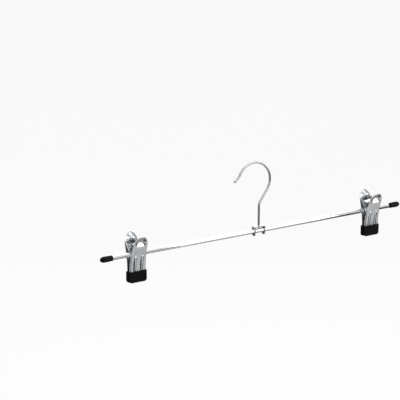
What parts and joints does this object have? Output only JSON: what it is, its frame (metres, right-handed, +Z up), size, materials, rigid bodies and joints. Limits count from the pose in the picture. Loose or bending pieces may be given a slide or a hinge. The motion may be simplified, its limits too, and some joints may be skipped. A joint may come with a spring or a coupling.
{
  "type": "trouser hanger",
  "caption": "Chromed bar hanger on a swivelling wire hook, with sprung pressed-metal clips that slide along the bar and grip through black vinyl sleeves.",
  "frame": {"origin": "where the hook rests on a wardrobe rail, at the top of the inside of its bend", "axes": "+X along the bar, away from the hook's mouth, +Y from the front to the back, +Z up"},
  "size_m": [0.4, 0.0258, 0.1114],
  "materials": {
    "hook_chrome": "polished chrome plate",
    "bracket_chrome": "polished chrome plate",
    "bar_chrome": "polished chrome plate",
    "plate_chrome": "bright chrome plate on pressed steel",
    "spring_steel": "drawn wire",
    "tip_vinyl": "satin dipped vinyl",
    "sleeve_vinyl": "satin dipped vinyl"
  },
  "bodies": {
    "hook": {"hook": "hook_chrome"},
    "bar": {"hook_bracket": "bracket_chrome", "crossbar": "bar_chrome", "left_tip": "tip_vinyl", "right_tip": "tip_vinyl"},
    "left_carriage": {"left_spring": "spring_steel"},
    "left_back": {"left_back_jaw": "plate_chrome", "left_back_sleeve": "sleeve_vinyl"},
    "left_front": {"left_front_jaw": "plate_chrome", "left_front_sleeve": "sleeve_vinyl"},
    "right_carriage": {"right_spring": "spring_steel"},
    "right_back": {"right_back_jaw": "plate_chrome", "right_back_sleeve": "sleeve_vinyl"},
    "right_front": {"right_front_jaw": "plate_chrome", "right_front_sleeve": "sleeve_vinyl"}
  },
  "joints": [
    {"name": "hook_swivel", "type": "hinge", "parent": "hook", "child": "bar", "pos_m": [0.0067, 0, -0.07255], "axis": [0, 0, 1], "continuous": true},
    {"name": "left_slide", "type": "slide", "parent": "bar", "child": "left_carriage", "axis": [1, 0, 0], "range_m": [-0.0188, 0.1392]},
    {"name": "left_swing", "type": "hinge", "parent": "left_carriage", "child": "left_back", "pos_m": [-0.1498, 0, -0.07765], "axis": [1, 0, 0], "continuous": true},
    {"name": "left_open", "type": "hinge", "parent": "left_back", "child": "left_front", "pos_m": [-0.1498, 0, -0.07765], "axis": [-1, 0, 0], "range_deg": [0, 45], "stiffness_Nm_per_rad": 0.2, "springref_deg": -68.75, "deforming": ["left_spring"]},
    {"name": "right_slide", "type": "slide", "parent": "bar", "child": "right_carriage", "axis": [-1, 0, 0], "range_m": [-0.0181, 0.1399]},
    {"name": "right_swing", "type": "hinge", "parent": "right_carriage", "child": "right_back", "pos_m": [0.1639, 0, -0.07765], "axis": [1, 0, 0], "continuous": true},
    {"name": "right_open", "type": "hinge", "parent": "right_back", "child": "right_front", "pos_m": [0.1639, 0, -0.07765], "axis": [-1, 0, 0], "range_deg": [0, 45], "stiffness_Nm_per_rad": 0.2, "springref_deg": -68.75, "deforming": ["right_spring"]}
  ]
}
